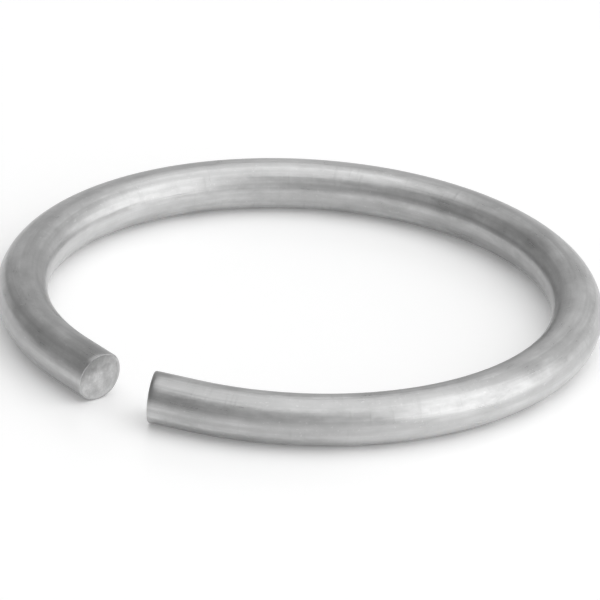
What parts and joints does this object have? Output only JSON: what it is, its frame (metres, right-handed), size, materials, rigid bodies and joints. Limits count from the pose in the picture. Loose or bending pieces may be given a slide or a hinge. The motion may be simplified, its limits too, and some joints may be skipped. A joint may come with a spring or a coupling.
{
  "type": "snap ring",
  "caption": "Round wire snap ring for a grooved shaft: one open loop of springy steel wire with a narrow gap between its cropped ends.",
  "frame": {"origin": "centre of the ring, at the middle of the wire's thickness", "axes": "+Z along the ring's axis, -Y through the gap between the two cut ends, +X to the side of the end whose cut is turned outwards"},
  "size_m": [0.0236, 0.0236, 0.002],
  "materials": {
    "spring_wire": "satin drawn wire, bare, with fine lengthwise die lines"
  },
  "bodies": {
    "root": {"snap_ring": "spring_wire"}
  },
  "joints": []
}
